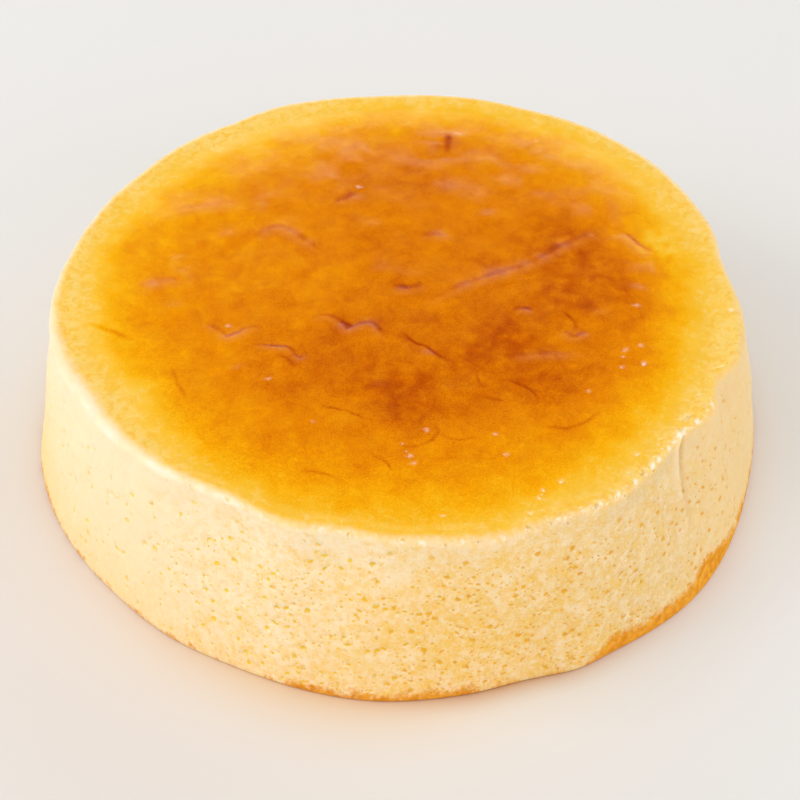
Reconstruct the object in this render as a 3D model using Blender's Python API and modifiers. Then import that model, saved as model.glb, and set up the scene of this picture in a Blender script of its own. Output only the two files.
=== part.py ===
"""A whole soft-baked cheesecake, out of its tin, as one solid.

The cake is low and round, a little narrower at its rim than at its foot. Its top is
nearly flat, with a faint crown, and ends in a soft lip. The side slopes out to a
tightly rounded foot and a flat base. Units are metres, +Z is up, and the origin is
the middle of the base.
"""
import math

import bmesh
import bpy
from mathutils import Matrix, Vector, noise

# --- Driving dimensions ---------------------------------------------------------

FOOT_RADIUS = 0.1004     # a 20 cm tin
RIM_RADIUS = 0.0927      # the rim draws in while the cake cools
HEIGHT = 0.0508          # the middle of the top above the base

CROWN = 0.0012           # how far the top falls from its middle to its lip
LIP_RISE = 0.0005        # how far the lip stands above the crown's curve
LIP_WIDTH = 0.0030
SHOULDER_ROUND = 0.0028  # radius of the round between the top and the side
FOOT_ROUND = 0.0015      # radius of the round between the side and the base

WAIST_DEPTH = 0.0007     # the side draws in just under the lip
WAIST_PLACE = 0.16       # as a share of the way down the side
WAIST_WIDTH = 0.10

FLARE = 0.98             # 1 is a straight side, less bulges, more hollows
FLARE_CHANGE = 0.16      # the side is fuller towards +X and straighter towards -X

TURN_STEPS = 144
TOP_RINGS = 10
RING_CROWDING = 0.85     # under 1, the top's rings crowd towards the rim
SHOULDER_POINTS = 6
WALL_RINGS = 9
FOOT_POINTS = 4
BASE_RING_RADIUS = 0.050
MERGE_DISTANCE = 0.00002

# Where the outline leaves its circle: azimuth and half width in degrees, then the
# offset in metres. Azimuth 0 is +X and 90 is +Y.
RIM_SWELLS = (
    (7, 6, -0.0026), (22, 8, -0.0009), (52, 16, 0.0008), (91, 10, -0.0011),
    (115, 8, 0.0009), (144, 4, -0.0008), (188, 12, 0.0024), (232, 9, -0.0018),
    (242, 6, -0.0024), (260, 4, -0.0021), (284, 6, 0.0024), (303, 6, 0.0024),
    (320, 4, -0.0012), (329, 3, 0.0005), (338, 3, -0.0023), (348, 4, 0.0006),
)
FOOT_SWELLS = (
    (60, 20, 0.0005), (120, 15, -0.0006), (187, 7, 0.0004), (220, 10, -0.0013),
    (243, 6, -0.0009), (266, 7, 0.0012), (288, 4, -0.0010), (297, 3, 0.0008),
    (318, 8, 0.0010), (348, 12, -0.0024),
)
# Upright creases that the folds of the tin's paper left in the side: azimuth and
# half width in degrees, depth, and how far down the side the crease reaches.
SIDE_CREASES = (
    (325, 2.6, 0.0010, 0.80), (337, 3.0, 0.0006, 0.45), (12, 3.5, 0.0008, 0.60),
    (68, 4.0, 0.0007, 0.70), (121, 3.5, 0.0009, 0.60), (206, 3.0, 0.0005, 0.50),
)

SWELL_FADE = 4           # how quickly the swells die away towards the axis
TOP_WAVE = 0.0004        # soft rise and fall of the top
TOP_WAVE_LENGTH = 0.034
TOP_WAVE_SEED = 5.3

CRUMB_COLOUR = (0.93, 0.72, 0.36, 1.0)
CRUMB_ROUGHNESS = 0.6


# --- The section, before it is turned ----------------------------------------------

def top_height(radius):
    """Height of the top at a distance from the axis."""
    crown = CROWN * (radius / RIM_RADIUS) ** 2
    from_lip = (radius - (RIM_RADIUS - SHOULDER_ROUND)) / LIP_WIDTH
    return HEIGHT - crown + LIP_RISE * math.exp(-from_lip ** 2)


TOP_EDGE = RIM_RADIUS - SHOULDER_ROUND
WALL_TOP = top_height(TOP_EDGE) - SHOULDER_ROUND


def wall_point(share):
    """A point of the side, from under the shoulder (0) to above the foot (1)."""
    radius = RIM_RADIUS + (FOOT_RADIUS - RIM_RADIUS) * share ** FLARE
    return radius, WALL_TOP + (FOOT_ROUND - WALL_TOP) * share


def quarter_round(centre, radius, start, count):
    """Points of a quarter circle that turns clockwise from a start angle in degrees."""
    points = []
    for step in range(count):
        angle = math.radians(start - 90 * step / (count - 1))
        points.append((centre[0] + radius * math.cos(angle), centre[1] + radius * math.sin(angle)))
    return points


def section():
    """Half of the cake's outline, from the middle of the top to that of the base."""
    points = [(0.0, top_height(0.0))]
    for ring in range(1, TOP_RINGS):
        radius = TOP_EDGE * (ring / TOP_RINGS) ** RING_CROWDING
        points.append((radius, top_height(radius)))
    points += quarter_round((TOP_EDGE, WALL_TOP), SHOULDER_ROUND, 90, SHOULDER_POINTS)
    points += [wall_point(ring / WALL_RINGS) for ring in range(1, WALL_RINGS)]
    points += quarter_round((FOOT_RADIUS - FOOT_ROUND, FOOT_ROUND), FOOT_ROUND, 0, FOOT_POINTS)
    points += [(BASE_RING_RADIUS, 0.0), (0.0, 0.0)]
    return points


# --- The unevenness of a baked cake ---------------------------------------------------

def bump(distance, half_width):
    return math.exp(-0.5 * (distance / half_width) ** 2)


def turn_between(azimuth, other):
    """Signed turn from one azimuth to another in degrees, from -180 to 180."""
    return (azimuth - other + 180) % 360 - 180


def swell(azimuth, swells):
    return sum(size * bump(turn_between(azimuth, place), width) for place, width, size in swells)


def crease(azimuth, share):
    """How far the side's creases press in."""
    depth = 0.0
    for place, width, size, reach in SIDE_CREASES:
        fade = max(0.0, 1 - (share / reach) ** 2)
        depth += size * fade * bump(turn_between(azimuth, place), width)
    return depth


def side_offset(azimuth, share):
    """How far the side stands out from the turned shape."""
    own_flare = FLARE - FLARE_CHANGE * math.cos(math.radians(azimuth))
    fullness = (FOOT_RADIUS - RIM_RADIUS) * (share ** own_flare - share ** FLARE)
    blend = share * share * (3 - 2 * share)
    outline = (1 - blend) * swell(azimuth, RIM_SWELLS) + blend * swell(azimuth, FOOT_SWELLS)
    waist = WAIST_DEPTH * bump(share - WAIST_PLACE, WAIST_WIDTH)
    return fullness + outline - waist - crease(azimuth, share)


def top_wave(x, y):
    place = Vector((x / TOP_WAVE_LENGTH, y / TOP_WAVE_LENGTH, TOP_WAVE_SEED))
    return TOP_WAVE * noise.noise(place)


def uneven(point):
    """Where a point of the turned shape goes on the baked cake."""
    radius = max(math.hypot(point.x, point.y), MERGE_DISTANCE)
    azimuth = math.degrees(math.atan2(point.y, point.x))
    share = min(1.0, max(0.0, (WALL_TOP - point.z) / (WALL_TOP - FOOT_ROUND)))
    edge = RIM_RADIUS if share < 1 else FOOT_RADIUS - FOOT_ROUND
    offset = side_offset(azimuth, share) * min(1.0, radius / edge) ** SWELL_FADE
    lift = top_wave(point.x, point.y) * (point.z / HEIGHT) ** 2
    outwards = 1 + offset / radius
    return Vector((point.x * outwards, point.y * outwards, point.z + lift))


# --- The solid -----------------------------------------------------------------------

def clear_scene():
    for old in list(bpy.data.objects):
        bpy.data.objects.remove(old, do_unlink=True)


def turned_mesh(collection):
    """The even cake: its section swept once round the Z axis."""
    points = [(radius, 0.0, height) for radius, height in section()]
    edges = [(index, index + 1) for index in range(len(points) - 1)]
    outline = bpy.data.meshes.new("cake_outline")
    outline.from_pydata(points, edges, [])
    profile = bpy.data.objects.new("cake_profile", outline)
    collection.objects.link(profile)
    screw = profile.modifiers.new("turn", "SCREW")
    screw.axis = "Z"
    screw.angle = math.tau
    screw.steps = TURN_STEPS
    screw.render_steps = TURN_STEPS
    screw.use_merge_vertices = True
    screw.merge_threshold = MERGE_DISTANCE
    bpy.context.view_layer.update()
    evaluated = profile.evaluated_get(bpy.context.evaluated_depsgraph_get())
    mesh = bpy.data.meshes.new_from_object(evaluated)
    bpy.data.objects.remove(profile, do_unlink=True)
    return mesh


def make_uneven(mesh):
    """Shapes the turned mesh and puts its origin under the middle of its box."""
    cake = bmesh.new()
    cake.from_mesh(mesh)
    for vertex in cake.verts:
        vertex.co = uneven(vertex.co)
    across = [vertex.co.x for vertex in cake.verts]
    deep = [vertex.co.y for vertex in cake.verts]
    middle = Vector(((min(across) + max(across)) / 2, (min(deep) + max(deep)) / 2, 0))
    cake.transform(Matrix.Translation(-middle))
    bmesh.ops.triangulate(cake, faces=cake.faces)
    cake.to_mesh(mesh)
    cake.free()


def crumb_material():
    material = bpy.data.materials.new("cheesecake_crumb")
    material.use_nodes = True
    shader = material.node_tree.nodes["Principled BSDF"]
    shader.inputs["Base Color"].default_value = CRUMB_COLOUR
    shader.inputs["Roughness"].default_value = CRUMB_ROUGHNESS
    shader.inputs["Metallic"].default_value = 0.0
    return material


def build():
    clear_scene()
    collection = bpy.data.collections.new("cheesecake")
    bpy.context.scene.collection.children.link(collection)
    mesh = turned_mesh(collection)
    mesh.name = "cake"
    make_uneven(mesh)
    mesh.shade_smooth()
    mesh.materials.append(crumb_material())
    cake = bpy.data.objects.new("cake", mesh)
    collection.objects.link(cake)


build()
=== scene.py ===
import math

import bpy
import numpy as np
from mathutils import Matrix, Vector, kdtree, noise
from mathutils.geometry import delaunay_2d_cdt


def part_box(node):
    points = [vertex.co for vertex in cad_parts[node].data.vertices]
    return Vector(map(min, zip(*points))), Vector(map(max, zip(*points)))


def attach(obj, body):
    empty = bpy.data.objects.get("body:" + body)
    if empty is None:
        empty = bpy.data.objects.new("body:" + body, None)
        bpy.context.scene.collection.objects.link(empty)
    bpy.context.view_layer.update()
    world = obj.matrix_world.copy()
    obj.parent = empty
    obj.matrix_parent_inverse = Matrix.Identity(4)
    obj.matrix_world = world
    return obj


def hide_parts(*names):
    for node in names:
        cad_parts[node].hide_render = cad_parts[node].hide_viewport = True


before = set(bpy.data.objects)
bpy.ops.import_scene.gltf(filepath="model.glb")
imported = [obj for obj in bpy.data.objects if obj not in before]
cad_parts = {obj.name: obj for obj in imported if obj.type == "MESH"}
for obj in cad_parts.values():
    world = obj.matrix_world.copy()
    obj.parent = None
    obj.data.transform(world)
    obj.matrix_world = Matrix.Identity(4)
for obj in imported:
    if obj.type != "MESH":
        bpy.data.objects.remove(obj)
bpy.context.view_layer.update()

# --- The cake ------------------------------------------------------------------------
# One soft foam of cream cheese, egg white and a little flour, baked in a paper-lined
# round tin until its top browns, then turned out. Its section is turned round Z and
# pushed a little out of round, as the solid in the frame is.

# Sizes are in millimetres and turns in degrees; azimuth 0 is +X and 90 is +Y
MM = 0.001
FOOT_RADIUS = 100.4
RIM_RADIUS = 92.7
HEIGHT = 50.8
CROWN = 1.2
LIP_RISE = 0.5
LIP_WIDTH = 3.0
SHOULDER_ROUND = 2.8
FOOT_ROUND = 0.7
WAIST_DEPTH = 0.7
WAIST_PLACE = 0.16
WAIST_WIDTH = 0.10
FLARE = 0.98
FLARE_CHANGE = 0.16
SWELL_FADE = 4
TOP_WAVE = 0.4
TOP_WAVE_LENGTH = 34.0
TOP_WAVE_SEED = 5.3

# azimuth, half width, offset
RIM_SWELLS = (
    (7, 6, -2.6), (22, 8, -0.9), (52, 16, 0.8), (91, 10, -1.1), (115, 8, 0.9),
    (144, 4, -0.8), (188, 12, 2.4), (232, 9, -1.8), (242, 6, -2.4), (260, 4, -2.1),
    (284, 6, 2.4), (303, 6, 2.4), (320, 4, -1.2), (329, 3, 0.5), (338, 3, -2.3),
    (348, 4, 0.6),
)
FOOT_SWELLS = (
    (60, 20, 0.5), (120, 15, -0.6), (187, 7, 0.4), (220, 10, -1.3), (243, 6, -0.9),
    (266, 7, 1.2), (288, 4, -1.0), (297, 3, 0.8), (318, 8, 1.0), (348, 12, -2.4),
)
# Upright creases from the folds of the paper: azimuth, half width, depth, reach
SIDE_CREASES = (
    (325, 2.6, 1.0, 0.80), (337, 3.0, 0.6, 0.45), (12, 3.5, 0.8, 0.60),
    (68, 4.0, 0.7, 0.70), (121, 3.5, 0.9, 0.60), (206, 3.0, 0.5, 0.50),
)


def bump(distance, half_width):
    return np.exp(-0.5 * (distance / half_width) ** 2)


def turn_between(azimuth, other):
    """Signed turn from one azimuth to another, from -180 to 180."""
    return (azimuth - other + 180) % 360 - 180


def between(value, start, stop, soft):
    """1 from start to stop, falling to 0 over a soft distance outside them."""
    return np.clip(1 + np.minimum(value - start, stop - value) / soft, 0, 1)


def swell(azimuth, swells):
    return sum(size * bump(turn_between(azimuth, place), width) for place, width, size in swells)


def top_height(radius):
    from_lip = (radius - TOP_EDGE) / LIP_WIDTH
    return HEIGHT - CROWN * (radius / RIM_RADIUS) ** 2 + LIP_RISE * np.exp(-from_lip ** 2)


# Distances along the section, from the middle of the top over the shoulder to the foot
TOP_EDGE = RIM_RADIUS - SHOULDER_ROUND
WALL_TOP = top_height(TOP_EDGE) - SHOULDER_ROUND
SHOULDER_END = TOP_EDGE + SHOULDER_ROUND * math.pi / 2
WALL_LENGTH = math.hypot(FOOT_RADIUS - RIM_RADIUS, WALL_TOP - FOOT_ROUND)
WALL_END = SHOULDER_END + WALL_LENGTH
SKIN_END = WALL_END + FOOT_ROUND * math.pi / 2


def section(along):
    """Radius, height and outward lean from upright, in radians, along the section."""
    share = np.clip((along - SHOULDER_END) / WALL_LENGTH, 0, 1)
    shoulder_turn = np.clip((along - TOP_EDGE) / SHOULDER_ROUND, 0, math.pi / 2)
    foot_turn = np.clip((along - WALL_END) / FOOT_ROUND, 0, math.pi / 2)
    on_top = along < TOP_EDGE
    on_shoulder = along < SHOULDER_END
    on_wall = along < WALL_END
    radius = np.select(
        [on_top, on_shoulder, on_wall],
        [along, TOP_EDGE + SHOULDER_ROUND * np.sin(shoulder_turn),
         RIM_RADIUS + (FOOT_RADIUS - RIM_RADIUS) * share ** FLARE],
        FOOT_RADIUS - FOOT_ROUND * (1 - np.cos(foot_turn)))
    height = np.select(
        [on_top, on_shoulder, on_wall],
        [top_height(along), WALL_TOP + SHOULDER_ROUND * np.cos(shoulder_turn),
         WALL_TOP + (FOOT_ROUND - WALL_TOP) * share],
        FOOT_ROUND * (1 - np.sin(foot_turn)))
    return radius, height, shoulder_turn + foot_turn, share


def side_crease(azimuth, share):
    depth = 0.0
    for place, width, size, reach in SIDE_CREASES:
        fade = np.clip(1 - (share / reach) ** 2, 0, 1)
        depth = depth + size * fade * bump(turn_between(azimuth, place), width)
    return depth


def side_offset(azimuth, share):
    own_flare = FLARE - FLARE_CHANGE * np.cos(np.radians(azimuth))
    fullness = (FOOT_RADIUS - RIM_RADIUS) * (share ** own_flare - share ** FLARE)
    blend = share * share * (3 - 2 * share)
    outline = (1 - blend) * swell(azimuth, RIM_SWELLS) + blend * swell(azimuth, FOOT_SWELLS)
    waist = WAIST_DEPTH * bump(share - WAIST_PLACE, WAIST_WIDTH)
    return fullness + outline - waist - side_crease(azimuth, share)


def rise_and_fall(places, length, seed, octaves=1):
    """Soft seeded noise, about -1 to 1, with a wavelength in millimetres."""
    shift = Vector((seed, 1.7 * seed, -0.6 * seed))
    return np.array([noise.fractal(Vector(place).to_3d() / length + shift, 1.0, 2.0, octaves)
                     for place in places])


def top_wave(x, y):
    return np.array([
        TOP_WAVE * noise.noise(Vector((a / TOP_WAVE_LENGTH, b / TOP_WAVE_LENGTH, TOP_WAVE_SEED)))
        for a, b in zip(x, y)])


def even_places(along, azimuth):
    """Points of the turned cake, before it is pushed out of round."""
    radius, height, lean, share = section(along)
    turn = np.radians(azimuth)
    return np.stack([radius * np.cos(turn), radius * np.sin(turn), height], axis=1)


def baked_places(along, azimuth, proud):
    """Points of the baked cake; proud is how far the skin stands out of its form."""
    radius, height, lean, share = section(along)
    turn = np.radians(azimuth)
    edge = np.where(share < 1, RIM_RADIUS, FOOT_RADIUS - FOOT_ROUND)
    reach = np.minimum(1, np.maximum(radius, 0.02) / edge) ** SWELL_FADE
    lift = top_wave(radius * np.cos(turn), radius * np.sin(turn)) * (height / HEIGHT) ** 2
    radius = radius + side_offset(azimuth, share) * reach + proud * np.sin(lean)
    height = height + lift + proud * np.cos(lean)
    return np.stack([radius * np.cos(turn), radius * np.sin(turn), height], axis=1)


# Where the skin has its points: pores, bubbles and folds get points of their own, and
# loose rings fill the rest
TOP_SPACING = 1.2
RIM_SPACING = 0.75
SIDE_SPACING = 1.3
GROUND_GAP = 0.75
random = np.random.default_rng(11)

# the first point is the middle of the top
point_rows = [np.zeros((5, 1))]


def add_points(along, azimuth, sink=0.0, pit=0.0, glint=0.0):
    """Points of the skin; sink is how deep they lie, pit tints them with painted pit shade, glint with a
    painted highlight.
    """
    azimuth = np.atleast_1d(azimuth) % 360
    point_rows.append(np.stack(np.broadcast_arrays(along, azimuth, sink, pit, glint)))


def ring_round(along, azimuth, half_width, half_height, slant, sides, phase):
    """Points of a slanted oval on the skin, round a middle given by along and azimuth."""
    around = phase + np.arange(sides) * math.tau / sides
    across = half_width * np.cos(around)
    down = half_height * np.sin(around)
    radius = section(np.array([along]))[0][0]
    step_across = across * math.cos(slant) - down * math.sin(slant)
    step_down = across * math.sin(slant) + down * math.cos(slant)
    return along + step_down, azimuth + np.degrees(step_across / radius)


PORE_COUNT = 2100
PORE_TRIES = 26000
PORE_SMALLEST = 0.28
PORE_SPREAD = 0.92
PORE_RARITY = 2.3        # over 1, the large ones are rare
PORE_CROWDING = 1.08
PORE_SQUAT = (0.4, 0.9)     # height over width, from and to
PORE_SLANT = 0.3
PORE_DEPTH = (0.2, 0.45)    # depth over half width, from and to
PORE_SIDES = 7
PORE_INNER = 0.62        # where its wall turns into its bottom, as a share of its width
PORE_LOBES = 0.16
PORE_PLAY = 0.08
CLUSTER_LENGTH = 8.0
# How thickly the side is set with pores, and where more: azimuth, half width, how much
PORES_EVERYWHERE = 0.30
PORE_CLUSTERS = ((283, 20, 0.75), (250, 14, 0.15), (205, 25, -0.15), (70, 40, 0.20))
# Just under the rim they are few: shares of the side, and how thickly they stand there
UNDER_RIM = (0.06, 0.26)
UNDER_RIM_PORES = (0.12, 1.0)
BURST_LIP = 0.14


def pore_share(azimuth, share):
    """How thickly the side is set with pores, 0 to 1."""
    round_it = PORES_EVERYWHERE + swell(azimuth, PORE_CLUSTERS)
    return round_it * np.interp(share, UNDER_RIM, UNDER_RIM_PORES)


def rough_round():
    """How far each corner of a pore's mouth lies out, as a share of its size."""
    around = np.arange(PORE_SIDES) * math.tau / PORE_SIDES
    long_way, three_way = random.uniform(0, math.tau, 2)
    lobes = PORE_LOBES * (np.cos(2 * around + long_way) + np.cos(3 * around + three_way))
    return 1 + lobes + random.normal(0, PORE_PLAY, PORE_SIDES)


def add_pore(along, azimuth, size, squat, slant, depth, lip=0.0):
    """An open pit: its mouth, which may stand up a little, its wall and its bottom."""
    phase = random.uniform(0, math.tau)
    rough = rough_round()
    corner_turn = phase + np.arange(PORE_SIDES) * math.tau / PORE_SIDES
    # one side of a burst bubble's lip gets a painted highlight
    shine = min(1, lip / BURST_LIP) * np.clip(-1.3 * np.cos(corner_turn + 0.6), 0, 1)
    for share, sink, pit, glint in ((1.0, -lip, 0.0, shine), (PORE_INNER, 0.75 * depth, 0.9, 0.0)):
        ring = ring_round(along, azimuth, size * share * rough, size * squat * share * rough,
                          slant, PORE_SIDES, phase)
        add_points(*ring, sink, pit, glint)
    add_points(along, azimuth, depth, 1.0)


def set_pores():
    """Open pores of the side, where the tin's paper pulled the skin off the bubbles."""
    middles = np.zeros((PORE_COUNT, 3))
    sizes = np.zeros(PORE_COUNT)
    count = 0
    for _ in range(PORE_TRIES):
        share = random.uniform(0.02, 0.97)
        azimuth = random.uniform(0, 360)
        size = PORE_SMALLEST + PORE_SPREAD * random.uniform() ** PORE_RARITY
        along = SHOULDER_END + WALL_LENGTH * share
        place = even_places(np.array([along]), np.array([azimuth]))[0]
        cluster = 0.55 + 1.7 * noise.fractal(Vector(place / CLUSTER_LENGTH), 1.0, 2.0, 2)
        if random.uniform() > pore_share(azimuth, share) * cluster:
            continue
        gaps = np.linalg.norm(middles[:count] - place, axis=1)
        if np.any(gaps < PORE_CROWDING * (sizes[:count] + size)):
            continue
        middles[count], sizes[count] = place, size
        count += 1
        add_pore(along, azimuth, size, random.uniform(*PORE_SQUAT), random.normal(0, PORE_SLANT),
                 size * random.uniform(*PORE_DEPTH))
        if count == PORE_COUNT:
            return


set_pores()

# Bubbles that burst at the rim: azimuth, distance past the top's edge, half width, depth
BURST_BUBBLES = (
    (240.5, 2.9, 0.95, 0.7), (254.7, 6.3, 0.5, 0.4), (261.6, 3.0, 0.75, 0.5), (270.2, 2.2, 0.75, 0.5),
    (276.6, 3.3, 0.5, 0.4), (281.5, 2.6, 0.4, 0.3), (289.7, 1.7, 0.8, 0.6), (293.4, 2.8, 0.5, 0.4),
    (296.1, 4.2, 0.5, 0.4), (301.2, 2.0, 0.9, 0.7), (306.5, 3.0, 0.4, 0.3), (311.6, 1.4, 0.9, 0.7),
    (313.8, 3.2, 0.5, 0.4), (20.5, 2.4, 0.7, 0.5), (63.0, 3.4, 0.6, 0.4), (104.0, 2.2, 0.8, 0.6),
    (139.0, 3.0, 0.6, 0.5), (166.0, 2.6, 0.5, 0.4), (229.0, 4.6, 0.45, 0.3), (233.5, 3.2, 0.4, 0.3),
)
BURST_FILLED = 0.55      # how much of its depth a burst bubble keeps
BURST_HALO = 1.5
for azimuth, past, size, depth in BURST_BUBBLES:
    add_pore(TOP_EDGE + past, azimuth, size, 0.9, 0.0, BURST_FILLED * depth, BURST_LIP)
    add_points(*ring_round(TOP_EDGE + past, azimuth, BURST_HALO * size, BURST_HALO * size, 0.0, 9, 0.3))

LINE_WANDER = 0.35
LINE_WANDER_LENGTH = 3.0


def smooth_line(corners, step):
    """A curve through given points, with a point every step or so."""
    corners = [np.array(corner, float) for corner in corners]
    padded = [2 * corners[0] - corners[1]] + corners + [2 * corners[-1] - corners[-2]]
    points = []
    for a, b, c, d in zip(padded, padded[1:], padded[2:], padded[3:]):
        count = max(2, int(np.linalg.norm(c - b) / step))
        for t in np.arange(count) / count:
            points.append(0.5 * (2 * b + (c - a) * t + (2 * a - 5 * b + 4 * c - d) * t ** 2
                                 + (3 * b - a - 3 * c + d) * t ** 3))
    points.append(corners[-1])
    points = np.array(points)
    sway = np.stack([rise_and_fall(points, LINE_WANDER_LENGTH, seed, 2) for seed in (5.5, 8.5)], axis=1)
    return points + LINE_WANDER * sway


# Folds and cracks of the top skin, by x and y: points, height, half width, then the
# depth of the furrow on the left of the line
TOP_FOLDS = (
    (((5, -5), (10, -2.5), (20, 4), (34, 11), (47, 21), (58, 29)), 0.42, 1.2, 0.22),
    (((-24, -11), (-20, -10), (-17, -12.5), (-14.5, -15.5), (-9, -13), (-6.5, -15.5), (-5, -19)),
     0.42, 0.9, 0.55),
    (((-53, -12), (-49.5, -15), (-46, -18), (-43, -16.5), (-40, -14.5), (-37, -15)), 0.38, 0.9, 0.45),
    (((-39, -21), (-34, -22), (-30.5, -22.5), (-28.5, -25.5), (-26.5, -26.5), (-24, -24)),
     0.36, 0.7, 0.45),
    (((-40, 22), (-35, 27), (-31, 25), (-27, 21), (-22, 17)), 0.40, 1.3, 0.25),
    (((-68, 32), (-60, 35.5), (-52, 37), (-43, 37.5)), 0.34, 1.6, 0.1),
    (((-70, 0), (-66, 4), (-61, 5), (-57, 4)), 0.32, 1.3, 0.1),
    (((-62, 17), (-61, 11), (-57.5, 8), (-57, 3)), 0.30, 1.2, 0.1),
    (((-10, 10), (-4, 11), (2, 9), (7, 9)), 0.28, 1.4, 0.0),
    (((-3, 1.5), (2, 1), (7, 3)), 0.26, 1.3, 0.35),
    (((29, -26), (33, -25.5), (38, -25), (43, -25), (48, -23.5)), 0.32, 1.0, 0.1),
    (((42, -15.5), (45, -18), (47, -18), (50, -15.5)), 0.35, 0.9, 0.3),
    (((9, 60), (9, 66), (9.5, 74)), 0.40, 1.5, 0.0),
    (((15, 61), (15.5, 67), (15.5, 74)), 0.35, 1.4, 0.75),
    (((61, 27), (59.5, 34), (59, 40), (55, 45), (49, 43.5), (44, 42)), 0.36, 1.8, 0.0),
    (((69, 15), (64, 20), (60, 26)), 0.38, 1.2, 0.0),
    (((61, 10.5), (66, 11), (71, 11)), 0.30, 1.4, 0.0),
    (((-26, 47), (-22, 50.5), (-17, 52)), 0.36, 1.6, 0.0),
    (((-19, 38), (-15, 39.5), (-11, 43)), 0.20, 1.3, 0.35),
    (((-39.5, 44), (-38.5, 40), (-39.5, 34)), 0.30, 1.2, 0.0),
    (((8, 44.5), (14, 44.5), (19, 42), (25, 39)), 0.30, 1.7, 0.0),
    (((-36, 64), (-30, 68), (-22, 69)), 0.34, 2.0, 0.0),
    (((-28, 60), (-22, 64), (-14, 64), (-6, 68)), 0.36, 2.2, 0.0),
    (((27, 48), (31, 47.5), (35, 46.5)), 0.30, 1.4, 0.0),
    (((20, 58.5), (24, 59), (28, 59)), 0.28, 1.4, 0.0),
    (((30, 72), (36, 66), (44, 58), (52, 55), (58, 50)), 0.34, 2.0, 0.0),
    (((5, 23.5), (10, 23.5), (14, 24)), 0.28, 1.2, 0.2),
    (((46, 34), (50, 35), (54, 34)), 0.28, 1.5, 0.0),
    (((30, -7.5), (32, -7), (35, -7.5)), 0.28, 1.0, 0.5),
)
# Cracks and wrinkles alone: points, depth, half width
TOP_CRACKS = (
    (((0, -15), (2, -18), (4.5, -20.3), (7, -21.5), (10, -25), (13, -27), (16, -30)), 0.40, 0.5),
    (((20, -30), (20, -34), (21, -37)), 0.25, 0.5),
    (((-61, -28), (-58, -36), (-56, -42)), 0.28, 0.6),
    (((9, -54), (14, -56), (20, -55)), 0.22, 0.6),
    (((34, -50.5), (42, -51.5), (48, -49), (53, -44)), 0.22, 0.6),
    (((20, -40), (27, -42)), 0.20, 0.5),
    (((8, -50), (9, -54), (6, -58), (0, -59.5)), 0.28, 0.6),
    (((-84, -10), (-76, -14), (-70, -18)), 0.30, 0.8),
    (((-9, -61), (-4, -65), (-2, -69)), 0.22, 0.5),
    (((-27, -68), (-20, -69), (-12, -74)), 0.22, 0.6),
    (((43, -6), (46, -11), (46, -15)), 0.25, 0.6),
    (((70, 18), (65, 23), (61, 28)), 0.40, 0.7),
    (((-17, -10.5), (-14, -12.5), (-12, -14)), 0.55, 0.8),
    (((-33, -24), (-30, -26), (-28, -29)), 0.25, 0.6),
    (((-22, -44), (-14, -46), (-8, -50)), 0.20, 0.5),
    (((26, -33), (33, -37), (36, -42)), 0.20, 0.5),
)
# Low swellings, where the skin came away from the crumb: x, y, half width, height
TOP_SWELLINGS = (
    (7, -25.5, 1.9, 0.30), (12.5, -38.5, 1.8, 0.28), (-6, -38, 1.7, 0.22), (-43, -31, 1.7, 0.25),
    (24, 33, 2.2, 0.25), (-8, 28, 2.4, 0.26), (38, 52, 2.4, 0.28), (-48, 24, 2.2, 0.24),
    (53, -9, 1.9, 0.26), (-14, 58, 2.4, 0.28), (64, 2, 2.0, 0.25), (-60, -6, 2.0, 0.22),
)
FOLD_ROWS = (-2.8, -1.9, -1.2, -0.6, 0.0, 0.6, 1.2, 1.9, 2.8)
FOLD_STEP = 0.7
FOLD_PLAY = 0.04
POINT_PLAY = 0.05


def add_rows(corners, width):
    """Rows of points along a fold, close enough to carry its height."""
    line = smooth_line(corners, FOLD_STEP)
    heading = np.gradient(line, axis=0)
    heading /= np.linalg.norm(heading, axis=1, keepdims=True)
    left = np.stack([-heading[:, 1], heading[:, 0]], axis=1)
    for row in FOLD_ROWS:
        places = line + left * row * width + random.normal(0, FOLD_PLAY, line.shape)
        add_points(np.hypot(*places.T), np.degrees(np.arctan2(places[:, 1], places[:, 0])))


for corners, _, width, _ in TOP_FOLDS:
    add_rows(corners, width)
for corners, _, width in TOP_CRACKS:
    add_rows(corners, width)

# Small bubbles that set in the skin: x, y, half width, height
TOP_BUBBLES = (
    (59.5, -22.5, 0.9, 0.5), (63.5, -20.5, 0.9, 0.5), (58, -29, 0.8, 0.45), (64.5, -28, 1.1, 0.5),
    (59, -25, 0.6, 0.3), (63.3, -4.5, 0.7, 0.4), (6.5, -53.5, 0.7, 0.5), (24, -54.5, 0.5, 0.3),
    (49, -38.5, 0.5, 0.3), (-35, -34, 0.6, 0.4), (0.3, -58.3, 0.6, 0.4), (2, -63, 0.7, 0.5),
    (3.2, -65.5, 0.5, 0.35), (1.2, -61, 0.4, 0.3), (89, -6, 1.2, 0.6), (-46, -13, 0.6, 0.3),
    (-12, 46, 1.0, 0.4), (-23, -50.5, 0.4, 0.25), (26.5, -62, 0.5, 0.35), (34.2, -76.7, 0.8, 0.5),
    (35.2, -74.0, 0.7, 0.5), (34.8, -75.4, 0.4, 0.3), (10, -83, 0.5, 0.3), (60, -62, 0.7, 0.45),
    (39.5, -70.7, 0.8, 0.45), (74.4, -48.4, 1.1, 0.5), (73.6, -49.6, 0.8, 0.4),
)
BUBBLE_SHRINK = 0.66     # what is left of the width as they set, and of the height
BUBBLE_SETTLE = 0.8
MIDDLE_REACH = 70        # inside this radius the bubbles get a faint painted glint, outside a strong one
# Small bubbles along the rim: their number, then a middle and play, or from and to
RIM_BUBBLE_COUNT = 50
RIM_BUBBLE_AZIMUTH = (312, 17)
RIM_BUBBLE_PAST_EDGE = (0.8, 1.3)
RIM_BUBBLE_SIZE = (0.2, 0.5)
RIM_BUBBLE_RISE = (0.3, 0.55)


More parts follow.
